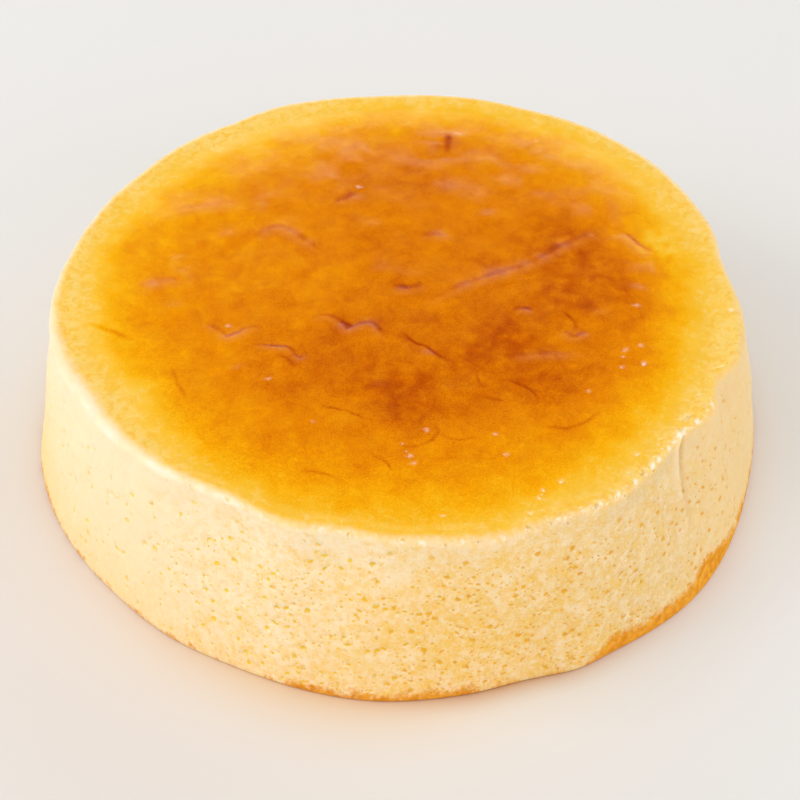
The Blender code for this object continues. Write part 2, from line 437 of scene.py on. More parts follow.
def add_bubble(along, azimuth, size, rise, glint):
    for share, lift in ((1.0, 0.0), (0.7, 0.6)):
        ring = ring_round(along, azimuth, size * share, size * share, 0, 7, share)
        add_points(*ring, -rise * lift, 0.0, glint * lift)
    add_points(along, azimuth, -rise, 0.0, glint)


for x, y, size, rise in TOP_BUBBLES:
    out = math.hypot(x, y)
    add_bubble(out, math.degrees(math.atan2(y, x)), BUBBLE_SHRINK * size, BUBBLE_SETTLE * rise,
               0.3 if out < MIDDLE_REACH else 0.7)
for _ in range(RIM_BUBBLE_COUNT):
    azimuth = random.normal(*RIM_BUBBLE_AZIMUTH)
    along = TOP_EDGE + random.normal(*RIM_BUBBLE_PAST_EDGE)
    size = random.uniform(*RIM_BUBBLE_SIZE)
    add_bubble(along, azimuth, size, size * random.uniform(*RIM_BUBBLE_RISE), random.uniform() ** 2)

# Close rows of points carry the torn rim from the front to the right
RIM_ROW_STEP = 0.26
for row in np.arange(-1.6, 4.0, 0.4):
    row_azimuth = np.arange(284, 346, RIM_ROW_STEP) + random.uniform(0, RIM_ROW_STEP)
    add_points(TOP_EDGE + row + random.normal(0, POINT_PLAY, len(row_azimuth)), row_azimuth)

# The fold of the paper runs down from the corner of the rim at the front right
CORNER_TURN = 322.8
FOLD_TURN = 319.8
FOLD_START = 1.5
FOLD_BEND = 3.2
FOLD_RIDGE = 0.6
FOLD_GROOVE = 0.50
GROOVE_ASIDE = 1.2
CORNER_RISE = 0.2


def fold_line(past_edge):
    """Azimuth of the fold at a distance past the top's edge."""
    below_start = np.maximum(0, past_edge - FOLD_START)
    return FOLD_TURN + (CORNER_TURN - FOLD_TURN) * np.exp(-below_start / FOLD_BEND)


across_fold = np.arange(-1.8, 3.0, 0.36)
for past in np.arange(4.0, 30.0, 0.6):
    play = random.normal(0, POINT_PLAY, len(across_fold))
    add_points(TOP_EDGE + past + play, fold_line(past) + across_fold)

features = np.concatenate(point_rows, axis=1)
feature_places = even_places(features[0], features[1])


def loose_rings(start, stop, spacing):
    """Rings of points, a spacing apart and off the beat, with a little play."""
    for along in np.arange(start, stop, spacing * 0.866):
        radius = section(np.array([along]))[0][0]
        count = max(6, round(2 * math.pi * radius / spacing))
        azimuth = (np.arange(count) + random.uniform()) * 360 / count
        azimuth = azimuth + random.normal(0, 0.16, count) * 360 / count
        add_points(along + random.normal(0, 0.12 * spacing, count), azimuth)


first_ground = len(point_rows)
loose_rings(TOP_SPACING, TOP_EDGE - 2.0, TOP_SPACING)
loose_rings(TOP_EDGE - 1.8, SHOULDER_END + 1.5, RIM_SPACING)
loose_rings(SHOULDER_END + 2.0, WALL_END - 0.4, SIDE_SPACING)
ground = np.concatenate(point_rows[first_ground:], axis=1)
tree = kdtree.KDTree(len(feature_places))
for index, place in enumerate(feature_places):
    tree.insert(place, index)
tree.balance()
keep = np.array([tree.find(place)[2] > GROUND_GAP for place in even_places(ground[0], ground[1])])

FOOT_SIDES = 520
FOOT_RINGS = 4
foot = np.zeros((5, FOOT_RINGS * FOOT_SIDES))
foot[0] = np.repeat(np.linspace(WALL_END, SKIN_END, FOOT_RINGS), FOOT_SIDES)
foot[1] = np.tile(np.arange(FOOT_SIDES) * 360 / FOOT_SIDES, FOOT_RINGS)
along, azimuth, sink, pit, glint = np.concatenate([features, ground[:, keep], foot], axis=1)

# How far the skin stands proud of its form
SETTLED = 0.41
WRINKLE = 0.08
BACK_WRINKLE = 0.05
BACK_ROUND = 0.45        # how much lower the back margin lies
WRINKLE_LENGTH = 11.0
RIPPLE = 0.022
RIPPLE_LENGTH = 3.4
RIM_ROUGH = 0.12
RIM_ROUGH_LENGTH = 2.4
TORN_TURN = 318
TORN_RIM = 1.6           # how much rougher the rim is where it tore
TORN_SHREDS = 0.10
SIDE_LUMP = 0.30
SIDE_LUMP_LENGTH = 13.0
SIDE_ROUGH = 0.07
SIDE_ROUGH_LENGTH = 2.6
# Narrow pleats of the paper: azimuth, half width, height, from and to as shares of the side
SIDE_PLEATS = (
    (324.5, 0.40, 0.3, 0.1, 0.6), (331, 0.5, 0.35, 0.0, 0.5), (314.5, 0.5, 0.22, 0.1, 0.7),
    (307, 0.4, -0.25, 0.02, 0.4), (251, 0.5, 0.2, 0.0, 0.35), (341, 0.5, 0.35, 0.1, 0.7),
    (33, 0.5, 0.4, 0.0, 0.7), (94, 0.5, 0.35, 0.0, 0.6), (150, 0.5, 0.4, 0.0, 0.8),
    (172, 0.4, 0.3, 0.1, 0.5),
)

even = even_places(along, azimuth)
past_edge = along - TOP_EDGE
on_top = 1 - np.clip(past_edge / 3.0, 0, 1)
on_side = np.clip(past_edge / 6.0, 0, 1) * np.clip((WALL_END - along) / 2.0, 0, 1)
x, y = even[:, 0], even[:, 1]


def beside_fold(corners, width, seed):
    """The top points near a fold: which, how far off, how far left of it, and its strength."""
    line = smooth_line(corners, 0.4)
    low, high = line.min(axis=0) - 5 * width, line.max(axis=0) + 5 * width
    in_reach = (x > low[0]) & (x < high[0]) & (y > low[1]) & (y < high[1])
    near = np.flatnonzero(in_reach & (along < TOP_EDGE))
    gap = np.stack([x[near], y[near]], axis=1)[:, None, :] - line[None, :, :]
    distance = np.linalg.norm(gap, axis=2)
    nearest = distance.argmin(axis=1)
    heading = np.gradient(line, axis=0)[nearest]
    heading /= np.linalg.norm(heading, axis=1, keepdims=True)
    offset = gap[np.arange(len(near)), nearest]
    left = heading[:, 0] * offset[:, 1] - heading[:, 1] * offset[:, 0]
    progress = nearest / (len(line) - 1)
    taper = np.clip(np.minimum(progress, 1 - progress) * 4, 0, 1)
    taper = taper * np.clip(0.85 + 0.6 * rise_and_fall(line, 4.5, seed, 2), 0.35, 1.2)[nearest]
    return near, distance.min(axis=1), left, taper


def furrow_beside(distance, left, shift, width):
    """1 in a narrow furrow that runs a shift to the left of a line."""
    past_end = np.maximum(0, distance - abs(left))
    return bump(np.hypot(left - shift, past_end), width)


# The skin wrinkles on top, more towards the back
towards_back = np.clip((y + 15) / 70, 0, 1)
proud = on_top * (WRINKLE + BACK_WRINKLE * towards_back) * rise_and_fall(even, WRINKLE_LENGTH, 3.1, 2)
proud += on_top * RIPPLE * rise_and_fall(even, RIPPLE_LENGTH, 7.7, 2)
for place_x, place_y, size, rise in TOP_SWELLINGS:
    proud += rise * bump(np.hypot(x - place_x, y - place_y), size) * (along < TOP_EDGE)

# The rim is rough, most where it tore at the front right
torn = TORN_RIM * bump(turn_between(azimuth, TORN_TURN), 24)
proud += TORN_SHREDS * torn * bump(past_edge - 1.5, 1.6) * rise_and_fall(even, 1.1, 6.3, 2)
rim_rough = RIM_ROUGH * bump(past_edge - 1.5, 2.2) * rise_and_fall(even, RIM_ROUGH_LENGTH, 1.9, 3)
proud += (1 + torn) * rim_rough

# Down the side run the pleats, which sway a little with the height
level = np.stack([even[:, 2]] * 3, axis=1)
side_share = section(along)[3]
for place, width, height, start, stop in SIDE_PLEATS:
    sway = place + 1.2 * rise_and_fall(level, 14.0, place, 2)
    run = np.clip((side_share - start) / 0.08, 0, 1) * np.clip((stop - side_share) / 0.25, 0, 1)
    proud += height * run * bump(turn_between(azimuth, sway), width)
proud += on_side * SIDE_LUMP * rise_and_fall(even, SIDE_LUMP_LENGTH, 9.4, 2)
proud += on_side * SIDE_ROUGH * rise_and_fall(even, SIDE_ROUGH_LENGTH, 4.2, 2)

# The fold from the corner is a ridge with a groove beside it
fold_turn = fold_line(past_edge) + 0.35 * rise_and_fall(level, 12.0, 3.3, 2)
fold_run = between(past_edge, FOLD_START, 26, 8) * (past_edge > 0)
proud += FOLD_RIDGE * fold_run * bump(turn_between(azimuth, fold_turn), 0.50)
proud -= FOLD_GROOVE * fold_run * bump(turn_between(azimuth, fold_turn + GROOVE_ASIDE), 0.48)
proud += CORNER_RISE * bump(turn_between(azimuth, CORNER_TURN - 0.3), 0.7) * bump(past_edge - 1.8, 0.7)

# From the corner's fold to the front the rim is torn up to a thin crest, hollow below
CREST_PLACE = 1.9
CREST_RISE = 0.34
CREST_HALF_WIDTH = 0.5
UNDERCUT = 0.30
crested = between(azimuth, 304, 322.5, 9) * (azimuth > 180)
ragged = np.clip(0.65 + 1.1 * rise_and_fall(even, 2.3, 61.0, 3), 0, 1.5)
proud += CREST_RISE * crested * ragged * bump(past_edge - CREST_PLACE, CREST_HALF_WIDTH)
proud -= UNDERCUT * crested * bump(past_edge - CREST_PLACE - 2.2, 1.2)

# The folds of the top stand up beside their furrows, and the cracks lie in the skin; furrows and cracks
# are browned with painted shade, and the ridges get a painted sheen
FURROW_DEEP = 0.4        # from this depth on a furrow gets its full browning and painted shade
RIDGE_HIGH = 0.42        # and from this height on a ridge gets its full painted sheen
furrow_brown_and_shade = np.zeros(len(along))
ridge_sheen = np.zeros(len(along))
for corners, rise, width, depth in TOP_FOLDS:
    near, distance, left, taper = beside_fold(corners, width, 3.5)
    furrow = taper * furrow_beside(distance, left, 1.5 * width, 0.5 * width)
    ridge = taper * bump(distance, 0.25 + 0.5 * width)
    proud[near] += 0.70 * rise * taper * bump(distance, 0.4 + 1.3 * width) - 0.12 * depth * furrow
    furrow_brown_and_shade[near] = np.maximum(furrow_brown_and_shade[near], furrow * min(1, depth / FURROW_DEEP))
    ridge_sheen[near] = np.maximum(ridge_sheen[near], ridge * min(1, rise / RIDGE_HIGH))
for corners, depth, width in TOP_CRACKS:
    near, distance, left, taper = beside_fold(corners, width, 2.0)
    proud[near] -= 0.2 * depth * taper * bump(distance, 0.5 + 1.7 * width)
    furrow = taper * furrow_beside(distance, left, 0.0, 0.6 * width)
    furrow_brown_and_shade[near] = np.maximum(furrow_brown_and_shade[near], furrow * min(1, depth / FURROW_DEEP))
proud -= BACK_ROUND * on_top * np.clip((along - 70) / 19, 0, 1) ** 2 * np.clip((y - 5) / 40, 0, 1)
proud -= sink
proud -= SETTLED * on_top

# The mesh: the points are joined over the flattened skin, and a flat base closes it
BASE_SPACING = 0.08      # as a share of the foot's radius
flat = np.stack([along * np.cos(np.radians(azimuth)), along * np.sin(np.radians(azimuth))], axis=1)
joined = delaunay_2d_cdt([Vector(place) for place in flat], [], [], 0, 1e-5, True)
source = np.array([originals[0] for originals in joined[3]])
skin = baked_places(along[source], azimuth[source], proud[source])
rim_of_base = np.flatnonzero(np.abs(along[source] - SKIN_END) < 1e-6)
rim_of_base = rim_of_base[np.argsort(azimuth[source][rim_of_base])]
rim_azimuth = np.radians(azimuth[source][rim_of_base])
rim_reach = np.hypot(*skin[rim_of_base, :2].T)
base_plan = [Vector((math.cos(a), math.sin(a))) for a in rim_azimuth]
steps = np.arange(-1, 1, BASE_SPACING)
base_plan += [Vector((a, b)) for a in steps for b in steps if math.hypot(a, b) < 1 - BASE_SPACING / 2]
base = delaunay_2d_cdt(base_plan, [], [], 0, 1e-7, True)
vertices = [tuple(place) for place in skin]
base_corner = {}
for corner, originals in enumerate(base[3]):
    first = originals[0]
    if first < len(rim_of_base):
        base_corner[corner] = int(rim_of_base[first])
        continue
    plan = base_plan[first]
    reach = np.interp(math.atan2(plan.y, plan.x) % math.tau, rim_azimuth, rim_reach)
    base_corner[corner] = len(vertices)
    vertices.append((plan.x * reach, plan.y * reach, 0.0))
skin_faces = [list(face) for face in joined[2]]
base_faces = [[base_corner[corner] for corner in reversed(face)] for face in base[2]]
# The solid's own box is centred over the origin, so its skin is moved as far
CENTRING = np.array([0.7425, 0.4974, 0.0])
solid_low, solid_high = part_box("cake")
places = np.clip((np.array(vertices) + CENTRING) * MM, np.array(solid_low), np.array(solid_high))
mesh = bpy.data.meshes.new("cheesecake")
mesh.from_pydata(places.tolist(), [], skin_faces + base_faces)
mesh.validate()
mesh.shade_smooth()


# What the oven did to the skin. The top is half browned out to this reach, and further
# or less far at some azimuths: azimuth, half width, how much
BROWNED_REACH = 76.0
BROWNED_SWELLS = ((60, 20, 4.5), (97, 14, 1.5), (120, 9, -1.2), (150, 9, 1.2), (211, 9, -4.8),
                  (275, 20, 3.0), (303, 10, 1.0), (346, 9, -1.8))
BROWNED_PLAY = 2.4
BROWNED_PLAY_LENGTH = 11.0
SOFT_FRONT = 0.55        # how much softer the browning ends in front
CLOUDS = 0.11
CLOUD_LENGTH = 7.0
FURROW_BROWN_AND_SHADE = 0.44
# Distance past that reach, and how brown the skin is there
BROWNING = ((-75, 0.74), (-40, 0.73), (-26, 0.69), (-18, 0.63), (-12, 0.58), (-8, 0.53),
            (-4, 0.45), (0, 0.35), (3, 0.26), (6, 0.17), (9, 0.11), (13, 0.03))
# Patches that the heat browned more or less: x, y, half width, how much
BROWN_PATCHES = (
    (-8, -31, 5, 0.14), (2, -41, 9, 0.26), (-16, -21, 4, 0.10), (26, -14, 7, 0.16),
    (30, -21, 9, 0.14), (38, -33, 10, 0.18), (45, 24, 10, 0.22), (52, 5, 11, 0.24),
    (60, -3, 9, 0.12), (5, 50, 9, 0.16), (11, 65, 4, 0.12), (0, 5, 5, 0.12),
    (-30, -30, 13, 0.08), (58, 35, 9, 0.04), (-30, 48, 12, 0.05), (14, -28, 26, 0.08),
    (-25, 10, 15, -0.05), (0, 34, 8, -0.05), (7, -26, 2.5, -0.16),
    (12, -38.5, 2.2, -0.14), (-39, -32, 3, -0.08), (-20, -2, 12, -0.04), (46, -6, 4, -0.03),
    (41, -1, 7, 0.13), (0, -68, 11, -0.06), (34, -80, 9, -0.05), (25, 11, 6, 0.14),
    (-16, -12, 4, 0.16), (28, -56, 7, -0.18), (73, 22, 8, -0.26), (15, 73, 8, 0.13),
    (25, 62, 7, 0.06), (31, 70, 6, 0.08), (31, -28, 4, -0.16), (48, -32, 6, 0.16),
    (59, -28, 5, 0.14), (65, -19, 5, 0.12), (-30, -22, 5, -0.06), (-78, 23, 8, 0.25),
    (-5, 24, 6, 0.14), (-13, 65, 6, 0.12), (-48, 20, 26, -0.11), (0, -11, 6, 0.12),
    (17, -26, 5, 0.12), (-12, -46, 6, -0.12), (10, -53, 5, -0.12), (37, 43, 7, 0.10),
    (60, 15, 6, 0.13),
)

x, y = skin[:, 0] + CENTRING[0], skin[:, 1] + CENTRING[1]
skin_along, skin_azimuth = along[source], azimuth[source]
own_even = even[source]
reach = BROWNED_REACH + swell(np.degrees(np.arctan2(y, x)) % 360, BROWNED_SWELLS)
reach = reach + BROWNED_PLAY * rise_and_fall(own_even, BROWNED_PLAY_LENGTH, 14.2, 3)
past, brown = zip(*BROWNING)
beyond = np.hypot(x, y) - reach
stretch = 1 + SOFT_FRONT * bump(turn_between(np.degrees(np.arctan2(y, x)), 277), 22)
browned = np.interp(np.where(beyond > 0, beyond / stretch, beyond), past, brown)
inside = np.clip(browned / 0.5, 0, 1)


def blotches(length, seed, octaves, level, strength, least=0.0, most=1.0):
    """A ragged mask over the skin, with blotches of a length."""
    return np.clip(level + strength * rise_and_fall(own_even, length, seed, octaves), least, most)


blotch = blotches(4.0, 71.0, 3, 0.85, 0.9, 0.2, 1.7)
for patch_x, patch_y, size, amount in BROWN_PATCHES:
    patch = bump(np.hypot(x - patch_x, y - patch_y), 0.8 * size)
    browned = browned + inside * amount * blotch * patch
browned += inside * CLOUDS * rise_and_fall(own_even, CLOUD_LENGTH, 21.0, 3)
# furrows and cracks are browned, with painted shade in them
browned += (0.1 + inside) * FURROW_BROWN_AND_SHADE * furrow_brown_and_shade[source]


def keep_on(kept_mesh, name, values):
    """Values of a mesh's points, for its material; the base of the cake has none."""
    full = np.zeros(len(kept_mesh.vertices), dtype=np.float32)
    full[:len(values)] = values
    kept_mesh.attributes.new(name, "FLOAT", "POINT").data.foreach_set("value", full)


share = section(skin_along)[3]
past_edge = skin_along - TOP_EDGE
keep_on(mesh, "browned", np.clip(browned, 0, 1.4))
keep_on(mesh, "pore", pit[source])
# the ridges carry a painted sheen
keep_on(mesh, "ridge", np.clip(ridge_sheen[source], 0, 1))
keep_on(mesh, "holed", np.clip(1.15 * pore_share(skin_azimuth, share), 0, 1))

# The yellow skin of the top ends in a ragged line on the round of the rim
skin_line = 2.0 + swell(skin_azimuth, ((203, 11, -2.6), (226, 9, -0.5)))
skin_line = skin_line - 0.3 * between(skin_azimuth, 214, 296, 6)
skin_line = skin_line + 0.7 * between(skin_azimuth, 303, 342, 8)
skin_line = skin_line + 0.7 * rise_and_fall(own_even, 2.6, 81.0, 3)
keep_on(mesh, "top", np.clip(0.5 - (past_edge - skin_line) / 3.0, 0, 1))

# Wet torn edges, the corner and the tops of the bubbles glint: a painted highlight, with a full coat over
# it
crest_glint = bump(past_edge - CREST_PLACE, 0.55) * between(skin_azimuth, 303, 329, 7)
crest_glint = crest_glint * blotches(1.7, 41.0, 3, 0.12, 3.4)
corner_glint = bump(turn_between(skin_azimuth, CORNER_TURN - 0.5), 0.8) * bump(past_edge - 1.6, 0.8)
corner_glint = corner_glint * blotches(1.2, 43.0, 2, 0.6, 1.2)
rim_glints = bump(past_edge - 2.6, 0.8) * between(skin_azimuth, 246, 303, 6)
rim_glints = rim_glints * blotches(1.6, 47.0, 3, -1.1, 3.0, 0.0, 0.7)
keep_on(mesh, "glint", np.maximum.reduce([glint[source], crest_glint, corner_glint, rim_glints]))

# The rim and the strip below it are paler in front, whitest at the left, torn at the right, with painted
# shade in the torn band under the crest
in_front = np.clip(1.15 * bump(turn_between(skin_azimuth, 235), 38), 0, 1)
keep_on(mesh, "pale_skin", in_front * np.clip(1 - (past_edge - 5) / 18, 0, 1) * (past_edge > 0))
keep_on(mesh, "shoulder", bump(past_edge - 2.8, 1.4) * bump(turn_between(skin_azimuth, 246), 22))
white_crest = bump(past_edge - 2.7, 1.0) * between(skin_azimuth, 203, 243, 8)
keep_on(mesh, "white_crest", white_crest * blotches(6.0, 57.0, 2, 0.55, 1.0))
torn_skin_and_shade = bump(past_edge - 6.0, 2.0) * between(skin_azimuth, 306, 321, 7)
keep_on(mesh, "torn", torn_skin_and_shade * blotches(4.0, 51.0, 2, 0.85, 0.7))

# The fold from the corner has a ridge with a painted highlight and a groove with painted shade
fold_gap = turn_between(skin_azimuth, fold_turn[source])
fold_fade = np.clip(1.1 - past_edge / 28, 0, 1) * (past_edge > 1.0)
keep_on(mesh, "crease_shade", fold_fade * bump(fold_gap - GROOVE_ASIDE, 0.55))
keep_on(mesh, "pleat_highlight", fold_fade * bump(fold_gap + 0.2, 0.7))

# The crumb is toasted and in painted shade at the right, foamy in front and at the back, and golden in
# front
keep_on(mesh, "toasted_and_shaded", np.clip(swell(skin_azimuth, ((330, 31, 1.1),)), 0, 1))
foamy = 0.15 + swell(skin_azimuth, ((90, 35, 0.45),)) + 0.85 * between(skin_azimuth, 246, 308, 22)
keep_on(mesh, "foamy", np.clip(foamy, 0, 1))
golden = np.clip(0.06 + swell(skin_azimuth, ((287, 17, 1.1),)), 0, 1)
golden = golden * (0.15 + 0.85 * np.clip((past_edge - 3) / 13, 0, 1))
golden = golden + bump(past_edge - 8.5, 3.5) * swell(skin_azimuth, ((292, 8, 0.75),))
golden = golden + np.clip((past_edge - 12) / 20, 0, 1) * swell(skin_azimuth, ((189, 9, 0.25),))
keep_on(mesh, "golden", np.clip(golden, 0, 1))

# How high the baked crust reaches up from the foot: as tongues (azimuth, half width,
# height) and as strips (azimuth from and to, fade, height)
CRUST_TONGUES = ((323.5, 2.2, 3.6), (334, 5, 3.0), (350, 12, 1.6), (192, 10, 1.0))
CRUST_STRIPS = ((303, 327, 5, 5.0), (256, 279, 4, 2.4), (15, 165, 20, 1.4))
CRUST_LEAST = 0.4
CRUST_PLAY = 1.5
CRUST_PLAY_LENGTH = 5.0
crust = CRUST_LEAST + CRUST_PLAY * rise_and_fall(own_even, CRUST_PLAY_LENGTH, 31.0, 3)
crust = crust + swell(skin_azimuth, CRUST_TONGUES)
for start, stop, fade, rise in CRUST_STRIPS:
    crust = crust + rise * between(skin_azimuth, start, stop, fade)
keep_on(mesh, "crust_height", np.where(skin_along > SHOULDER_END, crust, 0))


# The finish of the skin and crumb
def display(red, green, blue):
    """A colour as a screen shows it, 0 to 255, in the linear light that shaders use."""
    parts = [part / 255 for part in (red, green, blue)]
    return tuple(p / 12.92 if p < 0.04045 else ((p + 0.055) / 1.055) ** 2.4 for p in parts) + (1.0,)


class Board:
    """Puts nodes down and wires them."""

    def __init__(self, tree):
        self.tree = tree

    def add(self, kind, settings=(), **inputs):
        """A node with its settings and inputs; n0, n1 and so on are inputs by place."""
        node = self.tree.nodes.new("ShaderNode" + kind)
        for name, value in dict(settings).items():
            setattr(node, name, value)
        for name, value in inputs.items():
            numbered = name[0] == "n" and name[1:].isdigit()
            self.feed(node.inputs[int(name[1:]) if numbered else name.replace("_", " ")], value)
        return node

    def feed(self, socket, value):
        if isinstance(value, bpy.types.NodeSocket):
            self.tree.links.new(value, socket)
        elif value is not None:
            socket.default_value = value

    def mask(self, name):
        return self.add("Attribute", {"attribute_name": name}).outputs["Fac"]

    def math(self, operation, a, b=None, c=None):
        node = self.add("Math", {"operation": operation})
        for socket, value in zip(node.inputs, (a, b, c)):
            self.feed(socket, value)
        return node.outputs[0]

    def fit(self, value, low, high, to_low=0.0, to_high=1.0, smooth=False):
        """A value from low to high, fitted to run from to_low to to_high and no further."""
        node = self.add("MapRange", {"interpolation_type": "SMOOTHSTEP" if smooth else "LINEAR"},
                        Value=value, From_Min=low, From_Max=high, To_Min=to_low, To_Max=to_high)
        return node.outputs["Result"]

    def mix(self, amount, a, b, how="MIX"):
        node = self.add("Mix", {"data_type": "RGBA", "blend_type": how})
        self.feed(node.inputs[0], amount)
        self.feed(node.inputs[6], a)
        self.feed(node.inputs[7], b)
        return node.outputs[2]

    def times(self, a, b):
        return self.math("MULTIPLY", a, b)

    def paint(self, colour, mask, strength, new):
        """A colour taken towards a new one where the mask is 1, as far as the strength."""
        return self.mix(self.times(mask, strength), colour, new)

    def noise(self, where, size, detail=2.0, rough=0.5, warp=0.0):
        """Soft noise about 0.5, with features of a size in millimetres."""
        return self.add("TexNoise", Vector=where, Scale=1 / (size * MM), Detail=detail,
                        Roughness=rough, Distortion=warp).outputs["Fac"]


def start_material(name):
    """A material with a board for its nodes, its shader and the places on the piece."""
    material = bpy.data.materials.new(name)
    material.use_nodes = True
    board = Board(material.node_tree)
    shader = material.node_tree.nodes["Principled BSDF"]
    return material, board, shader, board.add("TexCoord").outputs["Object"]


def put_in_scene(name, data):
    thing = bpy.data.objects.new(name, data)
    bpy.context.scene.collection.objects.link(thing)
    return thing


material, board, shader, where = start_material("baked_cheesecake")
split = board.add("SeparateXYZ", Vector=where)
height = board.times(split.outputs["Z"], 1 / MM)

top_mask = board.mask("top")
side_mask = board.math("SUBTRACT", 1.0, top_mask)
browned_mask = board.mask("browned")
toasted_and_shaded_mask = board.mask("toasted_and_shaded")
golden_mask = board.mask("golden")
holed = board.mask("holed")
foamy = board.mask("foamy")


def centred(value, strength):
    return board.times(board.math("SUBTRACT", value, 0.5), strength)


# The browned top: pale cream at the lip, through egg yellow to a toffee brown
BROWNING_COLOURS = (
    (0.00, display(255, 214, 118)), (0.10, display(255, 203, 84)), (0.19, display(254, 192, 44)),
    (0.30, display(252, 177, 8)), (0.452, display(243, 157, 4)), (0.677, display(228, 130, 3)),
    (0.895, display(207, 103, 2)), (1.0, display(196, 89, 3)), (1.25, display(168, 62, 4)),
)
BROWN_RANGE = BROWNING_COLOURS[-1][0]
MARGIN_YELLOW = display(252, 190, 52)
MARGIN_PEACH = display(255, 216, 142)
# the painted sheen on the ridges of the folds
FOLD_SHEEN_PINK = display(226, 142, 78)
# what mottles it: sizes in millimetres, and how much browner or paler it makes the skin
SPECKLE, SPECKLE_STRENGTH = 0.5, 0.46
FLECK, FLECK_STRENGTH = 2.3, 0.22
CLOUD, CLOUD_STRENGTH = 5.5, 0.38
speckle = board.noise(where, SPECKLE, 3.0, 0.75)
fleck = board.noise(where, FLECK, 3.0, 0.6, 0.8)
cloud = board.noise(where, CLOUD, 5.0, 0.7, 1.2)
in_brown = board.fit(browned_mask, 0.05, 0.4)
sharper_in_front = board.fit(split.outputs["Y"], -0.06, 0.06, 1.8, 0.35)
specks = board.times(centred(speckle, SPECKLE_STRENGTH), sharper_in_front)
mottling = board.math("ADD", centred(fleck, FLECK_STRENGTH), centred(cloud, CLOUD_STRENGTH))
tint = board.math("ADD", specks, mottling)
amount = board.math("MULTIPLY_ADD", tint, in_brown, browned_mask)
ramp = board.add("ValToRGB", Fac=board.math("DIVIDE", amount, BROWN_RANGE))
points = ramp.color_ramp.elements
while len(points) < len(BROWNING_COLOURS):
    points.new(0.5)
for point, (position, colour) in zip(points, BROWNING_COLOURS):
    point.position = position / BROWN_RANGE
    point.color = colour
# the unbrowned margin is mottled between peach and a deeper yellow
margin = board.fit(browned_mask, 0.30, 0.08)
yellower = board.fit(fleck, 0.46, 0.66, 0.0, 0.75)
peachier = board.fit(fleck, 0.46, 0.30, 0.0, 0.5)
top_colour = board.paint(ramp.outputs["Color"], margin, yellower, MARGIN_YELLOW)
top_colour = board.paint(top_colour, margin, peachier, MARGIN_PEACH)
# the ridges of the folds get a painted sheen, pinkish
top_colour = board.paint(top_colour, board.mask("ridge"), 0.32, FOLD_SHEEN_PINK)

# The side: pale crumb, golden in front, toasted and in painted shade to the right, mottled like any foam
PALE_CRUMB = display(254, 228, 190)
GOLDEN_CRUMB = display(254, 202, 92)
TOASTED_SHADED_CRUMB = display(237, 205, 150)
TOASTED_SHADED_FOAM = display(234, 198, 140)
CRUMB_AT_FOOT = display(246, 202, 118)
CREAM = display(255, 233, 196)
TORN_CRUMB_IN_SHADE = display(230, 198, 148)
PATCH, PATCH_STRENGTH = 5.0, 0.52
CLUMP, CLUMP_STRENGTH = 2.2, 0.40
GRAIN, GRAIN_STRENGTH = 1.0, 0.18
patchy = board.noise(where, PATCH, 3.0, 0.62, 0.6)
clump = board.noise(where, CLUMP, 2.0, 0.55)
grain = board.noise(where, GRAIN, 2.0, 0.6)
low_down = board.fit(height, 20.0, 1.0, 0.0, 0.4)
crumb = board.mix(golden_mask, PALE_CRUMB, GOLDEN_CRUMB)
crumb = board.mix(toasted_and_shaded_mask, crumb, board.mix(foamy, TOASTED_SHADED_CRUMB, TOASTED_SHADED_FOAM))
crumb = board.paint(crumb, low_down, board.fit(toasted_and_shaded_mask, 0.0, 1.0, 1.0, 0.4), CRUMB_AT_FOOT)
crumb = board.paint(crumb, board.mask("pale_skin"), 0.80, CREAM)


def mottle(colour, value, strength, deep, pale):
    """A colour taken towards a deep and a pale one by noise, where the crumb is foamy."""
    strength = board.times(board.fit(foamy, 0.15, 1.0, 0.16, 1.0), strength)
    colour = board.paint(colour, board.fit(value, 0.49, 0.68), strength, deep)
    return board.paint(colour, board.fit(value, 0.51, 0.32), strength, pale)


crumb = mottle(crumb, patchy, PATCH_STRENGTH, display(248, 200, 84), CREAM)
crumb = mottle(crumb, clump, CLUMP_STRENGTH, display(249, 198, 80), display(255, 234, 200))
# painted shade in the torn band under the crest
crumb = board.paint(crumb, board.mask("torn"), 0.7, TORN_CRUMB_IN_SHADE)

# its foam: holes between pale walls, cell by cell, of two sizes, warped and lying flat
SMALL_CELL = 1.9
FAINT_CELL = 1.0
CELL_FLATNESS = (1.0, 1.0, 1.5)
CELL_WARP = 1.0 * MM
WARP_SCALE = 900.0
warp = board.add("TexNoise", Vector=where, Scale=WARP_SCALE, Detail=2.0).outputs["Color"]
warp = board.add("VectorMath", {"operation": "SCALE"}, n0=warp, Scale=CELL_WARP).outputs[0]
warped = board.add("VectorMath", {"operation": "MULTIPLY_ADD"}, n0=where, n1=CELL_FLATNESS, n2=warp)


def foam(cell, low, high, seed):
    """Tiny pits, one to a cell, of mixed sizes; 1 in a pit, then 1 in the wall round it."""
    shifted = board.add("VectorMath", {"operation": "ADD"}, n0=warped.outputs[0], n1=(seed, seed, seed))
    cells = board.add("TexVoronoi", Vector=shifted.outputs[0], Scale=1 / (cell * MM))
    size = board.add("SeparateColor", Color=cells.outputs["Color"]).outputs[0]
    inside = board.math("SUBTRACT", board.fit(size, 0.0, 1.0, low, high), cells.outputs["Distance"])
    wall = board.times(board.fit(inside, -0.34, -0.14), board.fit(inside, 0.0, -0.10))
    return board.fit(inside, -0.08, 0.16), wall


